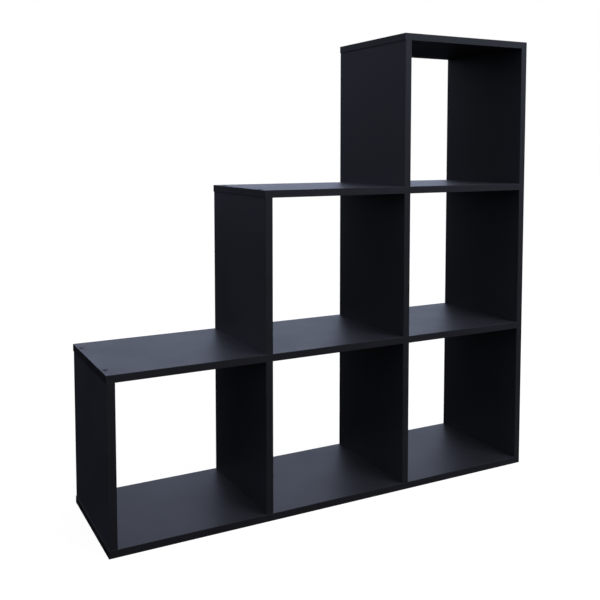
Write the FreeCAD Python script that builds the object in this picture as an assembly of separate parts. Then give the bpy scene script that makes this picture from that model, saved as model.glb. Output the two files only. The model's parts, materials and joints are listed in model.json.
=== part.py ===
import FreeCAD, Part
import math
import os
from FreeCAD import Vector

# Staircase bookshelf in faced particleboard, in millimetres.
# Three columns of open cells climb from left to right: one, two and three cells high.
# Four shelf boards run right through, and nine uprights of one length stand between them.
# X runs along the shelf towards its tall end, Y from front to back, Z up.
# The origin is the middle of the base, on the floor.

# Boards
BOARD_THICKNESS = 16.0
DEPTH = 290.0
CELL_HEIGHT = 332.5
LEFT_COLUMN_WIDTH = 323.0
MIDDLE_COLUMN_WIDTH = 336.0
RIGHT_COLUMN_WIDTH = 330.0
LEFT_OVERHANG = 1.5

# Edging strips glued to the cut edges
EDGING_THICKNESS = 1.0
EDGING_RADIUS = 0.4
EDGING_RADIUS_LIMIT = 0.9  # of the strip's thickness

# Places of the fasteners, counted in from the front edge and from the back edge
SCREW_INSET = 45.0
SCREW_TO_BOLT = 20.0
BOLT_TO_LOWER_DOWEL = 15.0
LOWER_TO_UPPER_DOWEL = 15.0

# Connecting screws, countersunk, with a hexagon socket
SCREW_LENGTH = 50.0
SCREW_DIAMETER = 7.0
SCREW_HEAD_DIAMETER = 10.0
SCREW_HEAD_LAND = 1.0
SCREW_HEAD_RECESS = 0.5
SCREW_TIP_LENGTH = 2.0
SOCKET_FLATS = 4.0
SOCKET_DEPTH = 3.0

# Thread of the screws and bolts
THREAD_PITCH = 3.0
THREAD_DEPTH = 1.0

# Cover caps on screws and cam locks
CAP_LIP = 1.0
CAP_RIM = 0.4
CAP_CROWN = 0.7
PLUG_END_ROOM = 1.0

# Dowels
DOWEL_DIAMETER = 8.0
DOWEL_LENGTH = 30.0
DOWEL_CHAMFER = 1.0
DOWEL_COVER = 5.0

# Connecting bolts, screwed into the board below an upright
BOLT_REACH = 34.0
BOLT_DIAMETER = 6.0
BOLT_COLLAR_STEP = 0.7
BOLT_COLLAR_HEIGHT = 2.0
BOLT_NECK_DIAMETER = 4.2
BOLT_HEAD_DIAMETER = 6.4
BOLT_HEAD_CHAMFER = 1.1
BOLT_COVER = 4.5

# Cam locks in the uprights' right-hand faces
CAM_BORE_DIAMETER = 15.0
CAM_THROW = 0.6
CAM_FLOOR = 1.0
DRIVE_LENGTH = 7.5
DRIVE_WIDTH = 1.6
DRIVE_DEPTH = 2.2

# Room left beside a fastener and past its end
SIDE_CLEARANCE = 0.1
END_ROOM = 0.5

COLUMN_WIDTHS = (LEFT_COLUMN_WIDTH, MIDDLE_COLUMN_WIDTH, RIGHT_COLUMN_WIDTH)
LINE_COUNT = len(COLUMN_WIDTHS) + 1
BOARD_NAMES = ("bottom_board", "lower_shelf", "upper_shelf", "top_board")
TIER_NAMES = ("lower", "middle", "top")
WIDTH = LEFT_OVERHANG + LINE_COUNT * BOARD_THICKNESS + sum(COLUMN_WIDTHS)
TIER_PITCH = CELL_HEIGHT + BOARD_THICKNESS
BOLT_INSET = SCREW_INSET + SCREW_TO_BOLT
LOWER_DOWEL_INSET = BOLT_INSET + BOLT_TO_LOWER_DOWEL
UPPER_DOWEL_INSET = LOWER_DOWEL_INSET + LOWER_TO_UPPER_DOWEL
BOLT_HEAD_ROOM = BOLT_HEAD_DIAMETER / 2 + SIDE_CLEARANCE
CAM_HEIGHT = BOARD_THICKNESS / 2 + BOLT_HEAD_ROOM + CAM_FLOOR

ORIGIN = Vector(0, 0, 0)
X_AXIS = Vector(1, 0, 0)
Y_AXIS = Vector(0, 1, 0)
Z_AXIS = Vector(0, 0, 1)


def upright_left(line):
    """X of the left face of the uprights on one line, counted from 0 at the left."""
    return LEFT_OVERHANG - WIDTH / 2 + line * BOARD_THICKNESS + sum(COLUMN_WIDTHS[:line])


def board_bottom(level):
    """Z of the underside of a shelf board, counted from 0 at the floor."""
    return level * TIER_PITCH


def board_ends(level):
    """X of a shelf board's ends: a little past the first upright, and level with the last one."""
    first_line = max(level - 1, 0)
    return upright_left(first_line) - LEFT_OVERHANG, WIDTH / 2


def has_upright(tier, line):
    """True where the stair has an upright: each tier starts one line further right."""
    return tier < len(TIER_NAMES) and tier <= line < LINE_COUNT


def front_and_back(inset):
    """The two places across the depth that lie this far in from the front and the back."""
    return inset - DEPTH / 2, DEPTH / 2 - inset


def block(low, high):
    """A box between two corners."""
    size = high - low
    return Part.makeBox(size.x, size.y, size.z, low)


def turned(outline):
    """A solid turned about Z from corners of radius and height, listed from its foot up."""
    points = [Vector(radius, 0, height) for radius, height in outline]
    face = Part.Face(Part.makePolygon(points + points[:1]))
    return face.revolve(ORIGIN, Z_AXIS, 360)


def hexagon(flats, low, high):
    """A hexagonal prism about Z, by its width across flats."""
    radius = flats / math.sqrt(3)
    angles = [math.radians(60 * corner) for corner in range(7)]
    points = [Vector(radius * math.cos(a), radius * math.sin(a), low) for a in angles]
    return Part.Face(Part.makePolygon(points)).extrude(Z_AXIS * (high - low))


def cross(length, width, low, high):
    """A cross-shaped prism about Z."""
    along_x = block(Vector(-length / 2, -width / 2, low), Vector(length / 2, width / 2, high))
    along_y = block(Vector(-width / 2, -length / 2, low), Vector(width / 2, length / 2, high))
    return along_x.fuse(along_y).removeSplitter()


def turned_over(shape):
    """A shape that points down, pointing up."""
    return shape.rotated(ORIGIN, X_AXIS, 180)


def laid_to_the_right(shape):
    """A shape that points up, pointing along X, with its own X side down."""
    return shape.rotated(ORIGIN, Y_AXIS, 90)


def edging_strip(corner, outward, across, along, length):
    """One strip on a cut edge, with its two long outer edges rounded."""
    radius = min(EDGING_RADIUS, EDGING_RADIUS_LIMIT * EDGING_THICKNESS)
    slant = radius * (1 - math.sqrt(0.5))

    def place(out, over):
        return corner + outward * out + across * over

    def rounded_corner(edge, inward):
        return [
            place(EDGING_THICKNESS - radius, edge),
            place(EDGING_THICKNESS - slant, edge + inward * slant),
            place(EDGING_THICKNESS, edge + inward * radius),
        ]

    near = rounded_corner(0, 1)
    far = rounded_corner(BOARD_THICKNESS, -1)
    wire = Part.Wire([
        Part.makeLine(corner, near[0]),
        Part.Arc(*near).toShape(),
        Part.makeLine(near[2], far[2]),
        Part.Arc(*far[::-1]).toShape(),
        Part.makeLine(far[0], place(0, BOARD_THICKNESS)),
        Part.makeLine(place(0, BOARD_THICKNESS), corner),
    ])
    return Part.Face(wire).extrude(along * length)


def shelf_board(level):
    """A shelf board's core, and its edging strips at the front, back and both ends."""
    left, right = board_ends(level)
    core_left = left + EDGING_THICKNESS
    core_right = right - EDGING_THICKNESS
    front, back = front_and_back(EDGING_THICKNESS)
    bottom = board_bottom(level)
    core = block(Vector(core_left, front, bottom), Vector(core_right, back, bottom + BOARD_THICKNESS))
    strips = [
        edging_strip(Vector(left, front, bottom), -Y_AXIS, Z_AXIS, X_AXIS, right - left),
        edging_strip(Vector(left, back, bottom), Y_AXIS, Z_AXIS, X_AXIS, right - left),
        edging_strip(Vector(core_left, front, bottom), -X_AXIS, Z_AXIS, Y_AXIS, back - front),
        edging_strip(Vector(core_right, front, bottom), X_AXIS, Z_AXIS, Y_AXIS, back - front),
    ]
    return core, strips


def upright(tier, line):
    """An upright's core, and its edging strips at the front and back."""
    left = upright_left(line)
    foot = board_bottom(tier) + BOARD_THICKNESS
    front, back = front_and_back(EDGING_THICKNESS)
    core = block(Vector(left, front, foot), Vector(left + BOARD_THICKNESS, back, foot + CELL_HEIGHT))
    strips = [
        edging_strip(Vector(left, front, foot), -Y_AXIS, X_AXIS, Z_AXIS, CELL_HEIGHT),
        edging_strip(Vector(left, back, foot), Y_AXIS, X_AXIS, Z_AXIS, CELL_HEIGHT),
    ]
    return core, strips


def thread(radius, bottom, top):
    """Corners of the ridges of a thread, from its foot up."""
    root = radius - THREAD_DEPTH
    ridges = int((top - bottom) / THREAD_PITCH)
    corners = [(root, bottom)]
    for ridge in range(ridges):
        crest = bottom + THREAD_PITCH * (ridge + 0.5)
        corners += [(root, crest - THREAD_DEPTH), (radius, crest), (root, crest + THREAD_DEPTH)]
    return corners + [(root, top)]


def connecting_screw():
    """A screw pointing down into its board, whose face is at height 0."""
    radius = SCREW_DIAMETER / 2
    head_radius = SCREW_HEAD_DIAMETER / 2
    head_top = -SCREW_HEAD_RECESS
    cone_top = head_top - SCREW_HEAD_LAND
    tip = head_top - SCREW_LENGTH
    outline = [(0, tip), (radius - 2 * THREAD_DEPTH, tip)]
    outline += thread(radius, tip + SCREW_TIP_LENGTH, -BOARD_THICKNESS)
    outline += [
        (radius, THREAD_DEPTH - BOARD_THICKNESS),
        (radius, cone_top - (head_radius - radius)),
        (head_radius, cone_top),
        (head_radius, head_top),
        (0, head_top),
    ]
    return turned(outline).cut(hexagon(SOCKET_FLATS, head_top - SOCKET_DEPTH, head_top))


def screw_hole():
    """The room for a connecting screw, through its board and into the upright."""
    radius = SCREW_DIAMETER / 2 + SIDE_CLEARANCE
    head_radius = SCREW_HEAD_DIAMETER / 2 + SIDE_CLEARANCE
    cone_top = -(SCREW_HEAD_RECESS + SCREW_HEAD_LAND + SIDE_CLEARANCE)
    bottom = -(SCREW_HEAD_RECESS + SCREW_LENGTH + END_ROOM)
    return turned([
        (0, bottom),
        (radius, bottom),
        (radius, cone_top - (head_radius - radius)),
        (head_radius, cone_top),
        (head_radius, 0),
        (0, 0),
    ])


def cap_disc(radius):
    """A low domed disc that lies on height 0."""
    top = CAP_RIM + CAP_CROWN
    dome_radius = (radius ** 2 + CAP_CROWN ** 2) / (2 * CAP_CROWN)
    half_angle = math.asin(radius / dome_radius) / 2
    middle_height = top - dome_radius * (1 - math.cos(half_angle))
    rim_top = Vector(radius, 0, CAP_RIM)
    dome_middle = Vector(dome_radius * math.sin(half_angle), 0, middle_height)
    dome_top = Vector(0, 0, top)
    wire = Part.Wire([
        Part.makeLine(ORIGIN, Vector(radius, 0, 0)),
        Part.makeLine(Vector(radius, 0, 0), rim_top),
        Part.Arc(rim_top, dome_middle, dome_top).toShape(),
        Part.makeLine(dome_top, ORIGIN),
    ])
    return Part.Face(wire).revolve(ORIGIN, Z_AXIS, 360)


def screw_cap():
    """A cap whose hexagonal plug goes into a screw's socket."""
    plug_bottom = PLUG_END_ROOM - SCREW_HEAD_RECESS - SOCKET_DEPTH
    plug = hexagon(SOCKET_FLATS - 2 * SIDE_CLEARANCE, plug_bottom, 0)
    return cap_disc(SCREW_HEAD_DIAMETER / 2 + CAP_LIP).fuse(plug)


def dowel():
    """A dowel standing in its board, whose face is at height 0."""
    radius = DOWEL_DIAMETER / 2
    bottom = DOWEL_COVER + END_ROOM - BOARD_THICKNESS
    top = bottom + DOWEL_LENGTH
    return turned([
        (0, bottom),
        (radius - DOWEL_CHAMFER, bottom),
        (radius, bottom + DOWEL_CHAMFER),
        (radius, top - DOWEL_CHAMFER),
        (radius - DOWEL_CHAMFER, top),
        (0, top),
    ])


def dowel_hole():
    """The room for a dowel, in its board and in the upright's end."""
    radius = DOWEL_DIAMETER / 2 + SIDE_CLEARANCE
    bottom = DOWEL_COVER - BOARD_THICKNESS
    return Part.makeCylinder(radius, DOWEL_LENGTH + 2 * END_ROOM, Z_AXIS * bottom)


def connecting_bolt():
    """A bolt standing in its board, whose face is at height 0, with its head in a cam lock."""
    radius = BOLT_DIAMETER / 2
    collar_radius = radius + BOLT_COLLAR_STEP
    neck_radius = BOLT_NECK_DIAMETER / 2
    head_radius = BOLT_HEAD_DIAMETER / 2
    bottom = BOLT_COVER + END_ROOM - BOARD_THICKNESS
    neck_bottom = BOLT_REACH - CAM_BORE_DIAMETER / 2 - END_ROOM
    head_bottom = BOLT_REACH - head_radius
    head_top = BOLT_REACH + head_radius
    outline = [(0, bottom)]
    outline += thread(radius, bottom, 0)
    outline += [
        (collar_radius, 0),
        (collar_radius, BOLT_COLLAR_HEIGHT),
        (radius, BOLT_COLLAR_HEIGHT),
        (radius, neck_bottom),
        (neck_radius, neck_bottom),
        (neck_radius, head_bottom),
        (head_radius - BOLT_HEAD_CHAMFER, head_bottom),
        (head_radius, head_bottom + BOLT_HEAD_CHAMFER),
        (head_radius, head_top - BOLT_HEAD_CHAMFER),
        (head_radius - BOLT_HEAD_CHAMFER, head_top),
        (0, head_top),
    ]
    return turned(outline)


def bolt_hole():
    """The room for a bolt, in its board and up through the upright's end to the cam lock."""
    in_board = Part.makeCylinder(
        BOLT_DIAMETER / 2 + SIDE_CLEARANCE,
        BOARD_THICKNESS - BOLT_COVER,
        Z_AXIS * (BOLT_COVER - BOARD_THICKNESS),
    )
    in_upright = Part.makeCylinder(BOLT_DIAMETER / 2 + BOLT_COLLAR_STEP + SIDE_CLEARANCE, BOLT_REACH)
    return in_board, in_upright


def cam_lock():
    """A cam lock with its driven face at height 0 and the upright's foot towards X.

    The bolt's head lies in an eccentric pocket. Half a turn takes the bolt's neck along a
    slot to a window as wide as the head, where the head can leave.
    """
    radius = CAM_BORE_DIAMETER / 2 - SIDE_CLEARANCE
    bolt_height = -BOARD_THICKNESS / 2
    slot_half = BOLT_NECK_DIAMETER / 2 + SIDE_CLEARANCE
    head_reach = math.hypot(BOLT_HEAD_DIAMETER / 2, BOLT_HEAD_DIAMETER / 2 - BOLT_HEAD_CHAMFER)
    pocket = Part.makeCylinder(
        head_reach + CAM_THROW + SIDE_CLEARANCE,
        2 * BOLT_HEAD_ROOM,
        Vector(-CAM_THROW, 0, bolt_height - BOLT_HEAD_ROOM),
    )
    slot_low = bolt_height - slot_half
    slot_high = bolt_height + slot_half
    sweep = Part.makeCylinder(radius, 2 * slot_half, Z_AXIS * slot_low)
    sweep = sweep.common(block(Vector(-radius, 0, slot_low), Vector(radius, radius, slot_high)))
    locked_end = block(Vector(0, -slot_half, slot_low), Vector(radius, slot_half, slot_high))
    window = block(
        Vector(-radius, -BOLT_HEAD_ROOM, bolt_height - BOLT_HEAD_ROOM),
        Vector(0, BOLT_HEAD_ROOM, bolt_height + BOLT_HEAD_ROOM),
    )
    drive = cross(DRIVE_LENGTH, DRIVE_WIDTH, -DRIVE_DEPTH, 0)
    body = Part.makeCylinder(radius, CAM_HEIGHT, -Z_AXIS * CAM_HEIGHT)
    return body.cut([pocket, sweep, locked_end, window, drive])


def cam_bore():
    """The room for a cam lock in an upright's face at height 0."""
    depth = CAM_HEIGHT + END_ROOM
    return Part.makeCylinder(CAM_BORE_DIAMETER / 2, depth, -Z_AXIS * depth)


def cam_cap():
    """A cap whose plug goes into a cam lock's drive."""
    plug = cross(
        DRIVE_LENGTH - 2 * SIDE_CLEARANCE,
        DRIVE_WIDTH - 2 * SIDE_CLEARANCE,
        PLUG_END_ROOM - DRIVE_DEPTH,
        0,
    )
    return cap_disc(CAM_BORE_DIAMETER / 2 + CAP_LIP).fuse(plug)


def join_uprights(nodes, cuts):
    """Puts the fasteners at both ends of every upright, with the room that they need."""
    screw = connecting_screw()
    screw_room = screw_hole()
    peg = dowel()
    peg_room = dowel_hole()
    bolt = connecting_bolt()
    bolt_room_in_board, bolt_room_in_upright = bolt_hole()
    cam = laid_to_the_right(cam_lock())
    cam_room = laid_to_the_right(cam_bore())
    cap_on_screw = screw_cap()
    cap_on_cam = laid_to_the_right(cam_cap())

    def add(node, shape, place):
        nodes.setdefault(node, []).append(shape.translated(place))

    def cut(shape, place, *boards):
        for board in boards:
            cuts[board].append(shape.translated(place))

    for tier, tier_name in enumerate(TIER_NAMES):
        below = BOARD_NAMES[tier]
        above = BOARD_NAMES[tier + 1]
        foot = board_bottom(tier) + BOARD_THICKNESS
        head = foot + CELL_HEIGHT
        for line in range(tier, LINE_COUNT):
            name = f"{tier_name}_upright_{line + 1}"
            right = upright_left(line) + BOARD_THICKNESS
            middle = right - BOARD_THICKNESS / 2

            for y in front_and_back(SCREW_INSET):
                face = Vector(middle, y, head + BOARD_THICKNESS)
                add(f"{above}_screws", screw, face)
                cut(screw_room, face, above, name)
                if not has_upright(tier + 1, line):
                    add(f"{above}_screw_caps", cap_on_screw, face)
                if tier == 0:
                    face = Vector(middle, y, 0)
                    add(f"{below}_screws", turned_over(screw), face)
                    cut(turned_over(screw_room), face, below, name)

            for y in front_and_back(LOWER_DOWEL_INSET):
                face = Vector(middle, y, head)
                add(f"dowels_under_{above}", turned_over(peg), face)
                cut(turned_over(peg_room), face, above, name)

            for y in front_and_back(UPPER_DOWEL_INSET):
                face = Vector(middle, y, foot)
                add(f"dowels_on_{below}", peg, face)
                cut(peg_room, face, below, name)

            if tier == 0:
                continue
            for y in front_and_back(BOLT_INSET):
                face = Vector(middle, y, foot)
                add(f"{below}_bolts", bolt, face)
                cut(bolt_room_in_board, face, below)
                cut(bolt_room_in_upright, face, name)
                cam_place = Vector(right, y, foot + BOLT_REACH)
                add(f"{name}_cams", cam, cam_place)
                cut(cam_room, cam_place, name)
                add(f"{name}_cam_caps", cap_on_cam, cam_place)


def bookshelf():
    """Every sub-part as a list of solids, by name."""
    boards = {}
    for level, name in enumerate(BOARD_NAMES):
        boards[name] = shelf_board(level)
    for tier, tier_name in enumerate(TIER_NAMES):
        for line in range(tier, LINE_COUNT):
            boards[f"{tier_name}_upright_{line + 1}"] = upright(tier, line)

    nodes = {}
    cuts = {name: [] for name in boards}
    join_uprights(nodes, cuts)
    for name, (core, strips) in boards.items():
        nodes[name] = core.cut(cuts[name]).Solids
        nodes[f"{name}_edging"] = strips
    return nodes


os.makedirs("parts", exist_ok=True)
for node, solids in bookshelf().items():
    shape = solids[0] if len(solids) == 1 else Part.makeCompound(solids)
    shape.exportStep(f"parts/{node}.step")
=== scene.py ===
import json
import math

import bpy
import numpy as np
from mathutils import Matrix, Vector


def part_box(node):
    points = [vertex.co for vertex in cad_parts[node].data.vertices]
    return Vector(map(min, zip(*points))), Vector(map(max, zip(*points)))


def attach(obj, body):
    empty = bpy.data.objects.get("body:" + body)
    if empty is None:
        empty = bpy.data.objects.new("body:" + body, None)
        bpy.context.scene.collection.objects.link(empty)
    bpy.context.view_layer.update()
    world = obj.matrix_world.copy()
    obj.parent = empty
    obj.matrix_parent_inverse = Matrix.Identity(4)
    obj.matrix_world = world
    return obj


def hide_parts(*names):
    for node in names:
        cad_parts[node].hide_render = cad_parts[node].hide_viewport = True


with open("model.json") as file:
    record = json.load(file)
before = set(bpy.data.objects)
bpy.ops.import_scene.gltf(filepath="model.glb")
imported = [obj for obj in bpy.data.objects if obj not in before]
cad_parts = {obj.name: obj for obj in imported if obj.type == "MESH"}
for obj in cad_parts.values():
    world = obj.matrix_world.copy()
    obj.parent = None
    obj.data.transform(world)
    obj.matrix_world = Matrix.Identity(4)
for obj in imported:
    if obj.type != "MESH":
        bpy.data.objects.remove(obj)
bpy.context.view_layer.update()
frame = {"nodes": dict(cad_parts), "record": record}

# Staircase bookshelf in black faced board, dressed and lit for a studio picture.
# Lengths are in metres. X runs along the shelf, Y from front to back, Z up.

BODY = "root"
X, Y, Z = 0, 1, 2
FULL_TURN = 2 * math.pi
QUARTER_TURN = math.pi / 2
MILLIMETRE = 0.001

# Boards and uprights, by the names of their nodes
SHELF_BOARDS = ("bottom_board", "lower_shelf", "upper_shelf", "top_board")
TIERS = ("lower", "middle", "top")
LINES = (1, 2, 3, 4)
TIER_UPRIGHTS = [[f"{tier}_upright_{line}" for line in LINES[n:]] for n, tier in enumerate(TIERS)]
BOARDS = [*SHELF_BOARDS, *sum(TIER_UPRIGHTS, [])]

# Edging strips
EDGE_ROUNDING = 0.4 * MILLIMETRE
END_ROUNDING = 0.3 * MILLIMETRE
GLUE_LINE = 0.1 * MILLIMETRE
HOLDING = 0.1 * MILLIMETRE

# Steps round edges and circles, and the angle from which an edge stays sharp
ROUNDING_STEPS = 7
TURNED_STEPS = 48
SHARP_ANGLE = math.radians(35.0)

# Cover caps
CAP_RIM = 0.4 * MILLIMETRE
CAP_ROUNDING = 0.15 * MILLIMETRE
CAP_DOME_STEPS = 9
POLE_SHARE = 0.02
HEXAGON_SIDES = 6
HEXAGON_PLUG_FLATS = 3.8 * MILLIMETRE
CROSS_ARMS = 4
CROSS_PLUG_LENGTH = 7.3 * MILLIMETRE
CROSS_PLUG_WIDTH = 1.4 * MILLIMETRE

# Thread of the screws and bolts
THREAD_PITCH = 3.0 * MILLIMETRE
THREAD_DEPTH = 1.0 * MILLIMETRE
THREAD_STEPS = 12

# Connecting screws
SCREW_RADIUS = 3.5 * MILLIMETRE
SCREW_TIP = 2.0 * MILLIMETRE
SCREW_SHANK = 15.5 * MILLIMETRE
SCREW_HEAD_LAND = 1.0 * MILLIMETRE
SCREW_HEAD_ROUNDING = 0.2 * MILLIMETRE
SOCKET_FLATS = 4.0 * MILLIMETRE
SOCKET_DEPTH = 3.0 * MILLIMETRE
SOCKET_LEAD_IN = 0.3 * MILLIMETRE

# Connecting bolts
BOLT_RADIUS = 3.0 * MILLIMETRE
BOLT_THREAD = 11.0 * MILLIMETRE
BOLT_COLLAR = 2.0 * MILLIMETRE
BOLT_NECK_RADIUS = 2.1 * MILLIMETRE
BOLT_NECK = 4.8 * MILLIMETRE
BOLT_HEAD = 6.4 * MILLIMETRE
BOLT_HEAD_CHAMFER = 1.1 * MILLIMETRE

# Dowels
DOWEL_CHAMFER = 1.0 * MILLIMETRE
DOWEL_FLUTES = 24
FLUTE_DEPTH = 0.3 * MILLIMETRE
FLUTE_STEPS = 4

# Random patches
PATCH_DETAIL = 2.0
PATCH_BREAKUP = 0.5
FINE_GRAIN_SHARE = 0.35
GLOSS_DETAIL = 4.0
GLOSS_BREAKUP = 0.6
GLOSS_RANGE = (0.3, 0.7)
RUBBED_DETAIL = 5.0
RUBBED_BREAKUP = 0.65
RUBBED_RANGE = (0.35, 0.65)

# Facing of the boards
FACING_COLOURS = ((0.0122, 0.0124, 0.0164, 1.0), (0.0137, 0.0139, 0.0185, 1.0))
FACING_ROUGHNESS = (0.5, 0.54)
FACING_IOR = 1.5
FACING_PATCHES = 120.0 * MILLIMETRE
PEARL_SIZE = 1.1 * MILLIMETRE
PEARL_DEPTH = 0.08 * MILLIMETRE
PEARL_STRENGTH = 1.0

# Plastics, by the slots that they fill
PLASTIC_IOR = 1.5
PLASTICS = {
    "edging": {
        "colour": (0.0115, 0.0113, 0.0140, 1.0),
        "rubbed_colour": (0.018, 0.018, 0.02, 1.0),
        "rubbed_size": 30.0 * MILLIMETRE,
        "rubbed_share": 0.6,
        "roughness": (0.38, 0.43),
        "patches": 60.0 * MILLIMETRE,
        "grain_size": 0.6 * MILLIMETRE,
        "grain_depth": 0.03 * MILLIMETRE,
        "grain_strength": 1.0,
    },
    "cap_plastic": {
        "colour": (0.006, 0.006, 0.007, 1.0),
        "rubbed_colour": (0.02, 0.02, 0.022, 1.0),
        "rubbed_size": 2.0 * MILLIMETRE,
        "rubbed_share": 0.5,
        "roughness": (0.5, 0.62),
        "patches": 4.0 * MILLIMETRE,
        "grain_size": 0.2 * MILLIMETRE,
        "grain_depth": 0.02 * MILLIMETRE,
        "grain_strength": 0.5,
    },
}

# Zinc pieces, by the slots that they fill, and the oil left in their hollows
ZINCS = {
    "zinc_plated_steel": {
        "colours": ((0.62, 0.64, 0.68, 1.0), (0.5, 0.52, 0.55, 1.0)),
        "roughness": (0.22, 0.36),
        "grain_size": 0.3 * MILLIMETRE,
    },
    "die_cast_zinc": {
        "colours": ((0.42, 0.42, 0.43, 1.0), (0.32, 0.32, 0.33, 1.0)),
        "roughness": (0.42, 0.58),
        "grain_size": 0.5 * MILLIMETRE,
    },
}
ZINC_PATCHES = 3.0 * MILLIMETRE
ZINC_GRAIN_DEPTH = 0.02 * MILLIMETRE
ZINC_GRAIN_STRENGTH = 0.4
OIL_SHARE = 0.55
OIL_COLOUR = (0.14, 0.13, 0.12, 1.0)

# Beech of the dowels
BEECH_COLOURS = ((0.55, 0.36, 0.2, 1.0), (0.42, 0.25, 0.13, 1.0))
BEECH_ROUGHNESS = (0.55, 0.7)
BEECH_PATCHES = 10.0 * MILLIMETRE
BEECH_STRETCH = (1.0, 1.0, 0.06)
FIGURE_SIZE = 1.2 * MILLIMETRE
FIGURE_DETAIL = 4.0
FIGURE_DEPTH = 0.05 * MILLIMETRE
FIGURE_STRENGTH = 0.4
FLECK_COLOUR = (0.25, 0.13, 0.06, 1.0)
FLECK_SIZE = 0.5 * MILLIMETRE
FLECK_RANGE = (0.62, 0.72)

# Camera, with its turn and pitch in degrees
CAMERA_PLACE = (-0.9105, -1.6681, 0.7997)
CAMERA_TURN = 27.84
CAMERA_PITCH = -3.91
CAMERA_LENS = 48.51
CAMERA_SHIFT = -0.16

# Floor and key lamp
WHITE = (1.0, 1.0, 1.0, 1.0)
FLOOR_SIZE = 40.0
FLOOR_GAP = 0.3 * MILLIMETRE
FLOOR_COLOUR = (0.12, 0.12, 0.12, 1.0)
FLOOR_GLOW = 0.95
KEY_PLACE = (1.6, -2.4, 4.0)
KEY_TARGET = (0.1, 0.0, 0.5)
KEY_SIZE = 1.8
KEY_POWER = 145.0

# Soft light of the world: its rise is a range of a direction's Z, and its sides one of X
AMBIENT_RISE = (-0.2, 0.9)
AMBIENT_LEVELS = (0.15, 0.82)
AMBIENT_SIDES = (-0.9, 0.2)
AMBIENT_LEFT_SHARE = 0.45

# Sky for reflections: its turn is a range of a direction's Y, and its right one of X
# Foot and fade are heights above the horizon in degrees, and edges are degrees from a direction
SKY_COLOUR = (0.66, 0.74, 1.0, 1.0)
SKY_LEVEL = 2.72
SKY_FOOT_BEHIND = (-5.0, 5.0)
SKY_FOOT_IN_FRONT = (-1.0, 30.0)
SKY_TURN = (-0.5, 0.1)
SKY_FADE = (3.0, 29.0)
SKY_TOP_SHARE = 0.45
SKY_RIGHT = (0.1, 0.7)
SKY_RIGHT_SHARE = 1.25
DIM_TOP_WAY = (0.397, 0.852, 0.342)
DIM_TOP_EDGE = (75.0, 40.0)
DIM_TOP_SHARE = 0.15
SCREEN_WAY = (-0.661, 0.734, -0.156)
SCREEN_EDGE = (58.0, 16.0)
SCREEN_SHARE = 0.05
PANEL_WAYS = ((-0.76, -0.63, -0.14), (0.98, -0.05, -0.2))
PANEL_EDGE = (42.0, 15.0)
PANEL_LEVEL = 0.4

# Sockets of the Mix node by number, as those for values and for colours share their names
MIX_VALUES = (2, 3)
MIX_VALUE_RESULT = 0
MIX_COLOURS = (6, 7)
MIX_COLOUR_RESULT = 2


# Surfaces

def skin(grids):
    """Faces over one or more grids of points, each a row of closed rings.

    Four neighbours on a grid make a face, and the first and the last ring are closed by one
    flat face each. Rings run anticlockwise about the way from the first ring to the last.
    """
    count, rings, around, _ = grids.shape
    number = np.arange(count * rings * around).reshape(count, rings, around)
    onward = np.roll(number, -1, axis=2)
    sides = np.stack([number[:, :-1], onward[:, :-1], onward[:, 1:], number[:, 1:]], axis=-1)
    ends = np.concatenate([number[:, 0, ::-1], number[:, -1]])
    return sides.reshape(-1, 4).tolist() + ends.tolist()


def add_piece(name, grids, slot, material, replaced, **marks):
    """A smooth piece from its grids, riding on the shelf in place of one CAD node.

    Each mark is a value from 0 to 1 at every point, which the material reads by its name.
    """
    mesh = bpy.data.meshes.new(name)
    mesh.from_pydata(grids.reshape(-1, 3).tolist(), [], skin(grids))
    mesh.shade_smooth()
    mesh.set_sharp_from_angle(angle=SHARP_ANGLE)
    for mark, values in marks.items():
        attribute = mesh.attributes.new(mark, "FLOAT", "POINT")
        attribute.data.foreach_set("value", np.ascontiguousarray(values, np.float32).ravel())
    mesh.materials.append(material)
    piece = bpy.data.objects.new(name, mesh)
    bpy.context.scene.collection.objects.link(piece)
    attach(piece, BODY)
    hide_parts(replaced)


def add_set(name, grid, places, slot, material, replaced, **marks):
    """A piece made of equal ones: a grid and its marks, repeated at each place."""
    grids = places[:, None, None] + grid
    repeated = {mark: np.broadcast_to(values, grids.shape[:-1]) for mark, values in marks.items()}
    add_piece(name, grids, slot, material, replaced, **repeated)


def edging_section(width, thickness):
    """Section of a strip: its reach out from the board, its place across, and its roundness.

    Half the section goes from a small chamfer at the glue line along the side, round a quarter
    circle and on to a holding point on the flat. The other half is its mirror image.
    """
    turn = np.linspace(0, QUARTER_TURN, ROUNDING_STEPS)
    corner_out = thickness - EDGE_ROUNDING * (1 - np.sin(turn))
    corner_across = EDGE_ROUNDING * (1 - np.cos(turn))
    out = np.concatenate([[0, GLUE_LINE], corner_out, [thickness]])
    across = np.concatenate([[GLUE_LINE, 0], corner_across, [EDGE_ROUNDING + HOLDING]])
    roundness = np.concatenate([[0, 0], np.sin(2 * turn), [0]])
    return (
        np.concatenate([out, out[::-1]]),
        np.concatenate([across, width - across[::-1]]) - width / 2,
        np.concatenate([roundness, roundness[::-1]]),
    )


def edging_stations(length):
    """Places along a strip, and how far its outer face is drawn in at each of them.

    Each end is a quarter circle followed by a holding place.
    """
    turn = np.linspace(0, QUARTER_TURN, ROUNDING_STEPS)
    along = np.append(END_ROUNDING * (1 - np.cos(turn)), END_ROUNDING + HOLDING)
    drawn_in = np.append(END_ROUNDING * (1 - np.sin(turn)), 0)
    return (
        np.concatenate([along, length - along[::-1]]) - length / 2,
        np.concatenate([drawn_in, drawn_in[::-1]]),
    )


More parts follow.
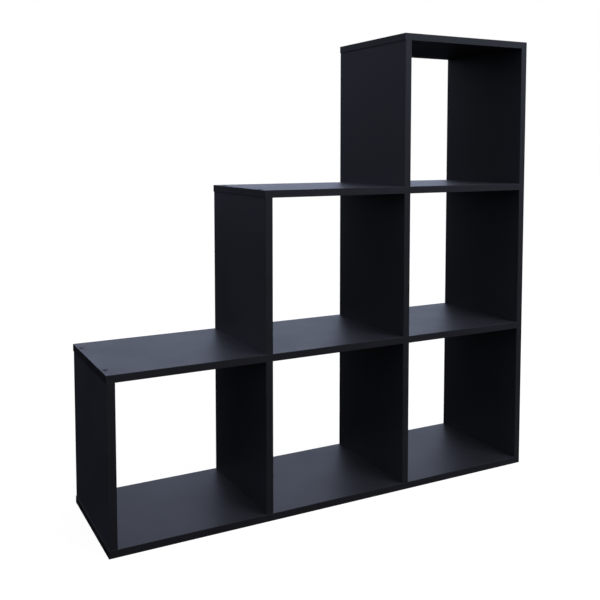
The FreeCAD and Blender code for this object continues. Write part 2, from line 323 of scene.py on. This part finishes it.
def edging_strip(middle, outward, across, width, thickness, length):
    """A strip's section carried along a straight path through the middle of its glued face."""
    out, over, roundness = edging_section(width, thickness)
    along, drawn_in = edging_stations(length)
    reach = out[None, :] * (1 - drawn_in[:, None] / thickness)
    path = np.cross(outward, across)
    points = (
        middle
        + reach[..., None] * outward
        + over[None, :, None] * across
        + along[:, None, None] * path
    )
    return points, np.broadcast_to(roundness, reach.shape)


def board_edging(board):
    """Strips on each side where a board's edging stands out past its core.

    The strips at the front and back cover the ends of those at the left and right.
    """
    core = np.array(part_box(board))
    edged = np.array(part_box(f"{board}_edging"))
    size = core[1] - core[0]
    thin = int(np.argmin(size))
    strips = []
    for facing in (axis for axis in (X, Y) if axis != thin):
        long = X + Y + Z - thin - facing
        length = edged[1, long] - edged[0, long] if facing == Y else size[long]
        for side, sign in enumerate((-1, 1)):
            thickness = sign * (edged[side, facing] - core[side, facing])
            middle = core.mean(axis=0)
            middle[facing] = core[side, facing]
            outward = sign * np.eye(3)[facing]
            across = np.eye(3)[thin]
            strips.append(edging_strip(middle, outward, across, size[thin], thickness, length))
    points, roundness = zip(*strips)
    return np.stack(points), np.stack(roundness)


def full_circle(steps):
    """Even angles once round, starting along X."""
    return np.linspace(0, FULL_TURN, steps, endpoint=False)


def even(radii, angle):
    """Rings that keep one radius all the way round."""
    return np.outer(radii, np.ones_like(angle))


def turned(radii, heights, angle):
    """Rings about Z, with a radius at each ring and angle: x = r cos a, y = r sin a, z = h."""
    return np.stack([radii * np.cos(angle), radii * np.sin(angle), even(heights, angle)], axis=-1)


def hexagon(flats, angle):
    """Radius of a hexagon: half its flats over the cosine of the turn from a side's middle."""
    side = FULL_TURN / HEXAGON_SIDES
    return flats / 2 / np.cos(angle % side - side / 2)


def cross(length, width, angle):
    """Radius of a cross: to the end of the nearest arm, or to the arm's flank if that is nearer."""
    between = FULL_TURN / CROSS_ARMS
    turn = np.abs((angle + between / 2) % between - between / 2)
    flank = np.maximum(turn, math.atan2(width, length))
    return np.minimum(length / 2 / np.cos(turn), width / 2 / np.sin(flank))


def cross_angles(length, width):
    """Even angles once round, and those of the corners at the ends of a cross's arms."""
    corner = math.atan2(width, length)
    arms = full_circle(CROSS_ARMS)
    corners = np.concatenate([arms + corner, (arms - corner) % FULL_TURN])
    return np.unique(np.concatenate([full_circle(TURNED_STEPS), corners]))


def cover_cap(radius, height, plug, plug_depth, angle):
    """A cap about Z, lying on height 0: plug, flat underside, rim and low dome, with its roundness.

    Rings go from the plug's foot out to the rim, round a quarter circle and up a parabola to
    the middle. Roundness marks the rim's edge.
    """
    turn = np.linspace(0, QUARTER_TURN, ROUNDING_STEPS)
    rim_radii = radius - CAP_ROUNDING * (1 - np.cos(turn))
    rim_heights = CAP_RIM - CAP_ROUNDING * (1 - np.sin(turn))
    inward = np.linspace(1, POLE_SHARE, CAP_DOME_STEPS)[1:]
    dome_radii = rim_radii[-1] * inward
    dome_heights = CAP_RIM + (height - CAP_RIM) * (1 - inward ** 2)
    round_radii = even(np.concatenate([[radius], rim_radii, dome_radii]), angle)
    heights = np.concatenate([[-plug_depth, 0, 0], rim_heights, dome_heights])
    roundness = np.concatenate([[0, 0, 0], np.sin(2 * turn), 0 * inward])
    return turned(np.vstack([plug, plug, round_radii]), heights, angle), even(roundness, angle)


def thread(radius, bottom, top, angle):
    """Radii, heights and hollowness of a thread's rings.

    The ridge is a triangle that climbs one pitch in each turn, anticlockwise, and dies away at
    both ends. Hollowness is 1 at the root and 0 on the crest.
    """
    heights = np.linspace(bottom, top, round((top - bottom) / THREAD_PITCH * THREAD_STEPS) + 1)
    phase = (heights[:, None] / THREAD_PITCH - angle / FULL_TURN) % 1
    ridge = np.clip(1 - np.abs(phase - 1 / 2) * THREAD_PITCH / THREAD_DEPTH, 0, 1)
    ends = np.minimum(heights - bottom, top - heights) / THREAD_PITCH
    ridge = ridge * np.clip(ends, 0, 1)[:, None]
    return radius - THREAD_DEPTH * (1 - ridge), heights, 1 - ridge


def connecting_screw(head_radius, length):
    """A screw about Z, standing on its tip: thread, shank, countersunk head and hexagon socket."""
    angle = full_circle(TURNED_STEPS)
    tip_radius = SCREW_RADIUS - 2 * THREAD_DEPTH
    thread_top = length - SCREW_SHANK
    cone_top = length - SCREW_HEAD_LAND
    threaded, thread_heights, hollow = thread(SCREW_RADIUS, SCREW_TIP, thread_top, angle)
    smooth_radii, smooth_heights = np.transpose([
        (SCREW_RADIUS, thread_top + THREAD_DEPTH),
        (SCREW_RADIUS, cone_top - (head_radius - SCREW_RADIUS)),
        (head_radius, cone_top),
        (head_radius, length - SCREW_HEAD_ROUNDING),
        (head_radius - SCREW_HEAD_ROUNDING, length),
    ])
    socket = hexagon(SOCKET_FLATS, angle)
    socket_radii = [socket + SOCKET_LEAD_IN, socket, socket]
    socket_heights = [length, length - SOCKET_LEAD_IN, length - SOCKET_DEPTH]
    socket_hollow = [0, 1, 1]
    radii = np.vstack([even([tip_radius], angle), threaded, even(smooth_radii, angle), *socket_radii])
    heights = np.concatenate([[0], thread_heights, smooth_heights, socket_heights])
    end_hollow = np.concatenate([0 * smooth_radii, socket_hollow])
    hollow = np.vstack([even([1], angle), hollow, even(end_hollow, angle)])
    return turned(radii, heights, angle), hollow


def connecting_bolt(collar_radius, length):
    """A bolt about Z, standing on its thread: collar, shaft, neck and the head that a cam holds."""
    angle = full_circle(TURNED_STEPS)
    threaded, thread_heights, hollow = thread(BOLT_RADIUS, 0, BOLT_THREAD, angle)
    collar_top = BOLT_THREAD + BOLT_COLLAR
    head_radius = BOLT_HEAD / 2
    head_bottom = length - BOLT_HEAD
    neck_bottom = head_bottom - BOLT_NECK
    smooth_radii, smooth_heights = np.transpose([
        (collar_radius, BOLT_THREAD),
        (collar_radius, collar_top),
        (BOLT_RADIUS, collar_top),
        (BOLT_RADIUS, neck_bottom),
        (BOLT_NECK_RADIUS, neck_bottom),
        (BOLT_NECK_RADIUS, head_bottom),
        (head_radius, head_bottom + BOLT_HEAD_CHAMFER),
        (head_radius, length - BOLT_HEAD_CHAMFER),
        (head_radius - BOLT_HEAD_CHAMFER, length),
    ])
    radii = np.vstack([threaded, even(smooth_radii, angle)])
    heights = np.concatenate([thread_heights, smooth_heights])
    return turned(radii, heights, angle), np.vstack([hollow, even(0 * smooth_radii, angle)])


def fluted_dowel(radius, length):
    """A dowel about Z, standing on its foot: chamfered ends and glue flutes along its sides.

    Round the sides, the radius drops and rises as a cosine, once for each flute.
    """
    angle = full_circle(DOWEL_FLUTES * FLUTE_STEPS)
    flutes = radius - FLUTE_DEPTH * (1 - np.cos(DOWEL_FLUTES * angle)) / 2
    end = even([radius - DOWEL_CHAMFER], angle)
    heights = [0, DOWEL_CHAMFER, length - DOWEL_CHAMFER, length]
    return turned(np.vstack([end, flutes, flutes, end]), heights, angle)


def standing_places(node, uprights):
    """Radius and height of a node's fasteners, and the places where their lowest points stand.

    They stand on the middle lines of the uprights, in two rows that touch the node's box.
    """
    low, high = np.array(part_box(node))
    middles = [np.mean(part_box(upright), axis=0)[X] for upright in uprights]
    radius = middles[0] - low[X]
    rows = (low[Y] + radius, high[Y] - radius)
    places = np.array([(middle, row, low[Z]) for middle in middles for row in rows])
    return radius, high[Z] - low[Z], places


def end_over_end(grid, length):
    """A grid turned half round about X, standing on what was its top."""
    return grid * (1, -1, -1) + (0, 0, length)


def laid_to_the_right(grid):
    """A grid that points up, pointing along X."""
    return grid[..., [Z, Y, X]] * (1, 1, -1)


# Nodes

def add_node(tree, kind, inputs=None, **settings):
    """A node with its settings, and with its inputs fed by values or by other nodes' sockets."""
    made = tree.nodes.new(kind)
    for name, value in settings.items():
        setattr(made, name, value)
    for name, value in (inputs or {}).items():
        if isinstance(value, bpy.types.NodeSocket):
            tree.links.new(value, made.inputs[name])
        else:
            made.inputs[name].default_value = value
    return made


def calculate(tree, operation, *values):
    """The result of one sum on values or sockets."""
    return add_node(tree, "ShaderNodeMath", dict(enumerate(values)), operation=operation).outputs[0]


def blend_values(tree, share, first, second):
    """A value between two, by a share from 0 to 1."""
    inputs = {"Factor": share, **dict(zip(MIX_VALUES, (first, second)))}
    return add_node(tree, "ShaderNodeMix", inputs).outputs[MIX_VALUE_RESULT]


def blend_colours(tree, share, first, second):
    """A colour between two, by a share from 0 to 1."""
    inputs = {"Factor": share, **dict(zip(MIX_COLOURS, (first, second)))}
    return add_node(tree, "ShaderNodeMix", inputs, data_type="RGBA").outputs[MIX_COLOUR_RESULT]


def spread(tree, value, low, high, new_low=0.0, new_high=1.0):
    """A value's range from low to high, eased onto a new range."""
    inputs = {"Value": value, "From Min": low, "From Max": high, "To Min": new_low, "To Max": new_high}
    eased = add_node(tree, "ShaderNodeMapRange", inputs, interpolation_type="SMOOTHSTEP")
    return eased.outputs["Result"]


def patches(tree, place, size, detail=PATCH_DETAIL, breakup=PATCH_BREAKUP):
    """Soft random patches of about one size."""
    scale = calculate(tree, "DIVIDE", 1.0, size)
    inputs = {"Vector": place, "Scale": scale, "Detail": detail, "Roughness": breakup}
    return add_node(tree, "ShaderNodeTexNoise", inputs).outputs["Fac"]


def new_group(name, inputs, outputs):
    """An empty shader node group with named sockets, and its two end nodes."""
    tree = bpy.data.node_groups.new(name, "ShaderNodeTree")
    for socket, kind in inputs.items():
        tree.interface.new_socket(socket, in_out="INPUT", socket_type=kind)
    for socket, kind in outputs.items():
        tree.interface.new_socket(socket, in_out="OUTPUT", socket_type=kind)
    return tree, tree.nodes.new("NodeGroupInput").outputs, tree.nodes.new("NodeGroupOutput").inputs


def pressed_grain():
    """Fine pebbled texture that a press plate or a mould leaves in a surface."""
    tree, given, result = new_group(
        "pressed_grain",
        {"Place": "NodeSocketVector", "Size": "NodeSocketFloat"},
        {"Height": "NodeSocketFloat"},
    )
    coarse = patches(tree, given["Place"], given["Size"])
    fine_size = calculate(tree, "MULTIPLY", given["Size"], FINE_GRAIN_SHARE)
    fine = patches(tree, given["Place"], fine_size)
    height = calculate(tree, "MULTIPLY_ADD", fine, FINE_GRAIN_SHARE, coarse)
    tree.links.new(height, result["Height"])
    return tree


def uneven_gloss():
    """Roughness that drifts between two values in broad patches, with fainter small ones."""
    tree, given, result = new_group(
        "uneven_gloss",
        {
            "Place": "NodeSocketVector",
            "Size": "NodeSocketFloat",
            "Low": "NodeSocketFloat",
            "High": "NodeSocketFloat",
        },
        {"Roughness": "NodeSocketFloat", "Share": "NodeSocketFloat"},
    )
    drift = patches(tree, given["Place"], given["Size"], GLOSS_DETAIL, GLOSS_BREAKUP)
    share = spread(tree, drift, *GLOSS_RANGE)
    span = calculate(tree, "SUBTRACT", given["High"], given["Low"])
    level = calculate(tree, "MULTIPLY_ADD", share, span, given["Low"])
    tree.links.new(level, result["Roughness"])
    tree.links.new(share, result["Share"])
    return tree


def rubbed_edges():
    """Mask of the rounded edges where handling has rubbed them, broken up along their length."""
    tree, given, result = new_group(
        "rubbed_edges",
        {
            "Place": "NodeSocketVector",
            "Roundness": "NodeSocketFloat",
            "Size": "NodeSocketFloat",
            "Amount": "NodeSocketFloat",
        },
        {"Mask": "NodeSocketFloat"},
    )
    drift = patches(tree, given["Place"], given["Size"], RUBBED_DETAIL, RUBBED_BREAKUP)
    broken = spread(tree, drift, *RUBBED_RANGE)
    mask = calculate(tree, "MULTIPLY", broken, given["Roundness"])
    mask = calculate(tree, "MULTIPLY", mask, given["Amount"])
    tree.links.new(mask, result["Mask"])
    return tree


def new_material(name):
    """An empty material, its node tree and the place on the object."""
    material = bpy.data.materials.new(name)
    material.use_nodes = True
    tree = material.node_tree
    tree.nodes.clear()
    place = add_node(tree, "ShaderNodeTexCoord").outputs["Object"]
    return material, tree, place


def use_group(tree, group, **inputs):
    """One of the shared groups placed in a material, with its own values."""
    return add_node(tree, "ShaderNodeGroup", inputs, node_tree=group).outputs


def use_gloss(tree, group, place, size, roughness):
    """The uneven gloss placed in a material, between its lowest and highest roughness."""
    low, high = roughness
    return use_group(tree, group, Place=place, Size=size, Low=low, High=high)


def read_mark(tree, mark):
    """A mark that the piece carries at its points."""
    return add_node(tree, "ShaderNodeAttribute", attribute_name=mark).outputs["Fac"]


def raise_texture(tree, height, depth, strength):
    """The normal of a surface with a texture raised on it."""
    inputs = {"Height": height, "Distance": depth, "Strength": strength}
    return add_node(tree, "ShaderNodeBump", inputs).outputs["Normal"]


def finish_surface(tree, shader):
    """Sends a shader to the material's output."""
    output = add_node(tree, "ShaderNodeOutputMaterial")
    tree.links.new(shader.outputs[0], output.inputs["Surface"])


def faced_board(groups):
    """Black melamine facing: a fine pressed pearl, satin, with a cool sheen."""
    material, tree, place = new_material("faced_board")
    gloss = use_gloss(tree, groups["uneven_gloss"], place, FACING_PATCHES, FACING_ROUGHNESS)
    pearl = use_group(tree, groups["pressed_grain"], Place=place, Size=PEARL_SIZE)
    finish_surface(tree, add_node(tree, "ShaderNodeBsdfPrincipled", {
        "Base Color": blend_colours(tree, gloss["Share"], *FACING_COLOURS),
        "Roughness": gloss["Roughness"],
        "IOR": FACING_IOR,
        "Normal": raise_texture(tree, pearl["Height"], PEARL_DEPTH, PEARL_STRENGTH),
    }))
    return material


def plastic(groups, name, finish):
    """Black plastic with a fine grain, rubbed paler on its round edges."""
    material, tree, place = new_material(name)
    gloss = use_gloss(tree, groups["uneven_gloss"], place, finish["patches"], finish["roughness"])
    grain = use_group(tree, groups["pressed_grain"], Place=place, Size=finish["grain_size"])
    rubbed = use_group(
        tree,
        groups["rubbed_edges"],
        Place=place,
        Roundness=read_mark(tree, "roundness"),
        Size=finish["rubbed_size"],
        Amount=finish["rubbed_share"],
    )
    colour = blend_colours(tree, rubbed["Mask"], finish["colour"], finish["rubbed_colour"])
    normal = raise_texture(tree, grain["Height"], finish["grain_depth"], finish["grain_strength"])
    finish_surface(tree, add_node(tree, "ShaderNodeBsdfPrincipled", {
        "Base Color": colour,
        "Roughness": gloss["Roughness"],
        "IOR": PLASTIC_IOR,
        "Normal": normal,
    }))
    return material


def zinc(groups, name, finish):
    """Bare zinc in two tones: plated on steel, or cast, dulled by oil in a thread's hollows."""
    material, tree, place = new_material(name)
    gloss = use_gloss(tree, groups["uneven_gloss"], place, ZINC_PATCHES, finish["roughness"])
    grain = use_group(tree, groups["pressed_grain"], Place=place, Size=finish["grain_size"])
    bare = blend_colours(tree, gloss["Share"], *finish["colours"])
    oiled = calculate(tree, "MULTIPLY", read_mark(tree, "hollow"), OIL_SHARE)
    finish_surface(tree, add_node(tree, "ShaderNodeBsdfPrincipled", {
        "Base Color": blend_colours(tree, oiled, bare, OIL_COLOUR),
        "Metallic": 1.0,
        "Roughness": gloss["Roughness"],
        "Normal": raise_texture(tree, grain["Height"], ZINC_GRAIN_DEPTH, ZINC_GRAIN_STRENGTH),
    }))
    return material


def beech(groups):
    """Pale beech of the dowels, with grain along Z and short dark flecks."""
    material, tree, place = new_material("beech")
    gloss = use_gloss(tree, groups["uneven_gloss"], place, BEECH_PATCHES, BEECH_ROUGHNESS)
    mapping = add_node(tree, "ShaderNodeMapping", {"Vector": place, "Scale": BEECH_STRETCH})
    stretched = mapping.outputs["Vector"]
    figure = patches(tree, stretched, FIGURE_SIZE, FIGURE_DETAIL)
    flecks = spread(tree, patches(tree, stretched, FLECK_SIZE), *FLECK_RANGE)
    plain = blend_colours(tree, figure, *BEECH_COLOURS)
    finish_surface(tree, add_node(tree, "ShaderNodeBsdfPrincipled", {
        "Base Color": blend_colours(tree, flecks, plain, FLECK_COLOUR),
        "Roughness": gloss["Roughness"],
        "Normal": raise_texture(tree, figure, FIGURE_DEPTH, FIGURE_STRENGTH),
    }))
    return material


# Studio

def cosines(angles):
    """Cosines of angles in degrees."""
    return np.cos(np.radians(angles))


def sines(angles):
    """Sines of angles in degrees."""
    return np.sin(np.radians(angles))


def towards(tree, way, aim):
    """How far a direction agrees with another: the cosine of the angle between them."""
    dot = add_node(tree, "ShaderNodeVectorMath", {0: way, 1: aim}, operation="DOT_PRODUCT")
    return dot.outputs["Value"]


def seen_plainly(tree, path):
    """1 for rays from the camera, also through glass, and 0 for others."""
    return calculate(tree, "MAXIMUM", path["Is Camera Ray"], path["Is Transmission Ray"])


def soft_light(tree, axes):
    """Level of the light that reaches matt surfaces: it grows upwards and towards the right."""
    rise = spread(tree, axes["Z"], *AMBIENT_RISE, *AMBIENT_LEVELS)
    side_share = spread(tree, axes["X"], *AMBIENT_SIDES, AMBIENT_LEFT_SHARE, 1.0)
    return calculate(tree, "MULTIPLY", rise, side_share)


def reflected_sky(tree, way, axes):
    """Level of the sky that reflections see.

    It rises from a dark foot, which reaches higher in front than behind, is brightest just above
    the horizon and fades towards the top, most of all above the back on the right. It grows a
    little towards the right. A dark screen at the back on the left keeps the shelf's left-hand
    faces black, and a faint panel low on either side lifts what faces away from the sky.
    """
    behind = spread(tree, axes["Y"], *SKY_TURN)
    foot_behind = spread(tree, axes["Z"], *sines(SKY_FOOT_BEHIND))
    foot_in_front = spread(tree, axes["Z"], *sines(SKY_FOOT_IN_FRONT))
    dim_top = towards(tree, way, DIM_TOP_WAY)
    top_share = spread(tree, dim_top, *cosines(DIM_TOP_EDGE), SKY_TOP_SHARE, DIM_TOP_SHARE)
    top = calculate(tree, "MULTIPLY", top_share, SKY_LEVEL)
    fade = spread(tree, axes["Z"], *sines(SKY_FADE), SKY_LEVEL, top)
    to_screen = towards(tree, way, SCREEN_WAY)
    screen = spread(tree, to_screen, *cosines(SCREEN_EDGE), 1.0, SCREEN_SHARE)
    right = spread(tree, axes["X"], *SKY_RIGHT, 1.0, SKY_RIGHT_SHARE)
    level = blend_values(tree, behind, foot_in_front, foot_behind)
    for factor in (fade, screen, right):
        level = calculate(tree, "MULTIPLY", level, factor)
    for panel_way in PANEL_WAYS:
        to_panel = towards(tree, way, panel_way)
        panel = spread(tree, to_panel, *cosines(PANEL_EDGE), 0.0, PANEL_LEVEL)
        level = calculate(tree, "ADD", level, panel)
    return level


def light_world():
    """White to the camera and through glass, a cool sky to reflections, and soft grey light."""
    world = bpy.data.worlds.new("studio")
    world.use_nodes = True
    tree = world.node_tree
    tree.nodes.clear()
    way = add_node(tree, "ShaderNodeTexCoord").outputs["Generated"]
    axes = add_node(tree, "ShaderNodeSeparateXYZ", {0: way}).outputs
    path = add_node(tree, "ShaderNodeLightPath").outputs
    glossy = path["Is Glossy Ray"]
    level = blend_values(tree, glossy, soft_light(tree, axes), reflected_sky(tree, way, axes))
    colour = blend_colours(tree, glossy, WHITE, SKY_COLOUR)
    lit = add_node(tree, "ShaderNodeBackground", {"Color": colour, "Strength": level}).outputs[0]
    plain = add_node(tree, "ShaderNodeBackground", {"Color": WHITE, "Strength": 1.0}).outputs[0]
    both = add_node(tree, "ShaderNodeMixShader", {0: seen_plainly(tree, path), 1: lit, 2: plain})
    output = add_node(tree, "ShaderNodeOutputWorld")
    tree.links.new(both.outputs[0], output.inputs["Surface"])
    bpy.context.scene.world = world


def lay_floor():
    """A floor that is white to the camera and grey to the shelf, and keeps its faint shadow."""
    half = FLOOR_SIZE / 2
    corners = [(-half, -half), (half, -half), (half, half), (-half, half)]
    mesh = bpy.data.meshes.new("floor")
    mesh.from_pydata([(x, y, -FLOOR_GAP) for x, y in corners], [], [(0, 1, 2, 3)])
    material, tree, _ = new_material("floor")
    path = add_node(tree, "ShaderNodeLightPath").outputs
    glow = calculate(tree, "MULTIPLY", seen_plainly(tree, path), FLOOR_GLOW)
    shade = add_node(tree, "ShaderNodeBsdfDiffuse", {"Color": FLOOR_COLOUR}).outputs[0]
    light = add_node(tree, "ShaderNodeEmission", {"Color": WHITE, "Strength": glow}).outputs[0]
    finish_surface(tree, add_node(tree, "ShaderNodeAddShader", {0: shade, 1: light}))
    mesh.materials.append(material)
    floor = bpy.data.objects.new("floor", mesh)
    floor.visible_glossy = False
    bpy.context.scene.collection.objects.link(floor)


def hang_lamp(name, place, target, size, power):
    """A square soft lamp turned towards a point."""
    light = bpy.data.lights.new(name, "AREA")
    light.size = size
    light.energy = power
    lamp = bpy.data.objects.new(name, light)
    lamp.location = place
    aim = np.subtract(target, place)
    lift = math.atan2(aim[Z], math.hypot(aim[X], aim[Y]))
    lamp.rotation_euler = (QUARTER_TURN + lift, 0, math.atan2(-aim[X], aim[Y]))
    lamp.visible_camera = False
    lamp.visible_glossy = False
    bpy.context.scene.collection.objects.link(lamp)


def set_camera():
    """The photograph's viewpoint, looking a little down past the left end."""
    camera = bpy.data.objects.new("camera", bpy.data.cameras.new("camera"))
    camera.location = CAMERA_PLACE
    camera.rotation_euler = (
        QUARTER_TURN + math.radians(CAMERA_PITCH),
        0,
        -math.radians(CAMERA_TURN),
    )
    camera.data.lens = CAMERA_LENS
    camera.data.shift_y = CAMERA_SHIFT
    bpy.context.scene.collection.objects.link(camera)
    bpy.context.scene.camera = camera


# Dressing

def dress_nodes(materials):
    """Gives every CAD node the material of its slot in the record."""
    for part in frame["record"]["subparts"]:
        slots = frame["nodes"][part["node"]].data.materials
        slots.clear()
        slots.append(materials[part["material_slot"]])


def add_edging(material):
    """A smooth set of strips round each board."""
    for board in BOARDS:
        points, roundness = board_edging(board)
        add_piece(
            f"{board}_edge_band", points, "edging", material, f"{board}_edging", roundness=roundness
        )


def add_screws(material):
    """Threaded screws down through each board, and up through the bottom board."""
    for board, uprights in zip(SHELF_BOARDS, [TIER_UPRIGHTS[0], *TIER_UPRIGHTS]):
        node = f"{board}_screws"
        radius, length, places = standing_places(node, uprights)
        grid, hollow = connecting_screw(radius, length)
        if board == SHELF_BOARDS[0]:
            grid = end_over_end(grid, length)
        name = f"{board}_threaded_screws"
        add_set(name, grid, places, "zinc_plated_steel", material, node, hollow=hollow)


def add_bolts(material):
    """Threaded bolts on the boards that carry a tier held by cam locks."""
    for board, uprights in zip(SHELF_BOARDS[1:], TIER_UPRIGHTS[1:]):
        node = f"{board}_bolts"
        radius, length, places = standing_places(node, uprights)
        grid, hollow = connecting_bolt(radius, length)
        name = f"{board}_threaded_bolts"
        add_set(name, grid, places, "zinc_plated_steel", material, node, hollow=hollow)


def add_dowels(material):
    """Fluted dowels in the feet and the heads of the uprights."""
    for below, above, uprights in zip(SHELF_BOARDS, SHELF_BOARDS[1:], TIER_UPRIGHTS):
        for node in (f"dowels_on_{below}", f"dowels_under_{above}"):
            radius, length, places = standing_places(node, uprights)
            grid = fluted_dowel(radius, length)
            add_set(f"fluted_{node}", grid, places, "beech", material, node)


def add_screw_caps(material):
    """Caps on the screws of each board that no upright stands on."""
    angle = full_circle(TURNED_STEPS)
    plug = hexagon(HEXAGON_PLUG_FLATS, angle)
    for board, uprights in zip(SHELF_BOARDS[1:], TIER_UPRIGHTS):
        bare = uprights if board == SHELF_BOARDS[-1] else uprights[:1]
        node = f"{board}_screw_caps"
        radius, height, places = standing_places(node, bare)
        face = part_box(board)[1][Z]
        plug_depth = face - places[0, Z]
        places[:, Z] = face
        grid, roundness = cover_cap(radius, height - plug_depth, plug, plug_depth, angle)
        name = f"{board}_domed_caps"
        add_set(name, grid, places, "cap_plastic", material, node, roundness=roundness)


def add_cam_caps(material):
    """Caps on the cam locks, on the right-hand faces of the uprights that have them."""
    angle = cross_angles(CROSS_PLUG_LENGTH, CROSS_PLUG_WIDTH)
    plug = cross(CROSS_PLUG_LENGTH, CROSS_PLUG_WIDTH, angle)
    for upright in sum(TIER_UPRIGHTS[1:], []):
        node = f"{upright}_cam_caps"
        low, high = np.array(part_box(node))
        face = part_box(upright)[1][X]
        radius = (high[Z] - low[Z]) / 2
        rows = (low[Y] + radius, high[Y] - radius)
        places = np.array([(face, row, low[Z] + radius) for row in rows])
        grid, roundness = cover_cap(radius, high[X] - face, plug, face - low[X], angle)
        grid = laid_to_the_right(grid)
        name = f"{upright}_domed_caps"
        add_set(name, grid, places, "cap_plastic", material, node, roundness=roundness)


# The dressed shelf in its studio

groups = {
    "pressed_grain": pressed_grain(),
    "uneven_gloss": uneven_gloss(),
    "rubbed_edges": rubbed_edges(),
}
materials = {
    "faced_board": faced_board(groups),
    **{name: plastic(groups, name, finish) for name, finish in PLASTICS.items()},
    **{name: zinc(groups, name, finish) for name, finish in ZINCS.items()},
    "beech": beech(groups),
}
dress_nodes(materials)
add_edging(materials["edging"])
add_screw_caps(materials["cap_plastic"])
add_cam_caps(materials["cap_plastic"])
add_screws(materials["zinc_plated_steel"])
add_bolts(materials["zinc_plated_steel"])
add_dowels(materials["beech"])
light_world()
lay_floor()
hang_lamp("key", KEY_PLACE, KEY_TARGET, KEY_SIZE, KEY_POWER)
set_camera()
bpy.context.scene.view_settings.view_transform = "Standard"
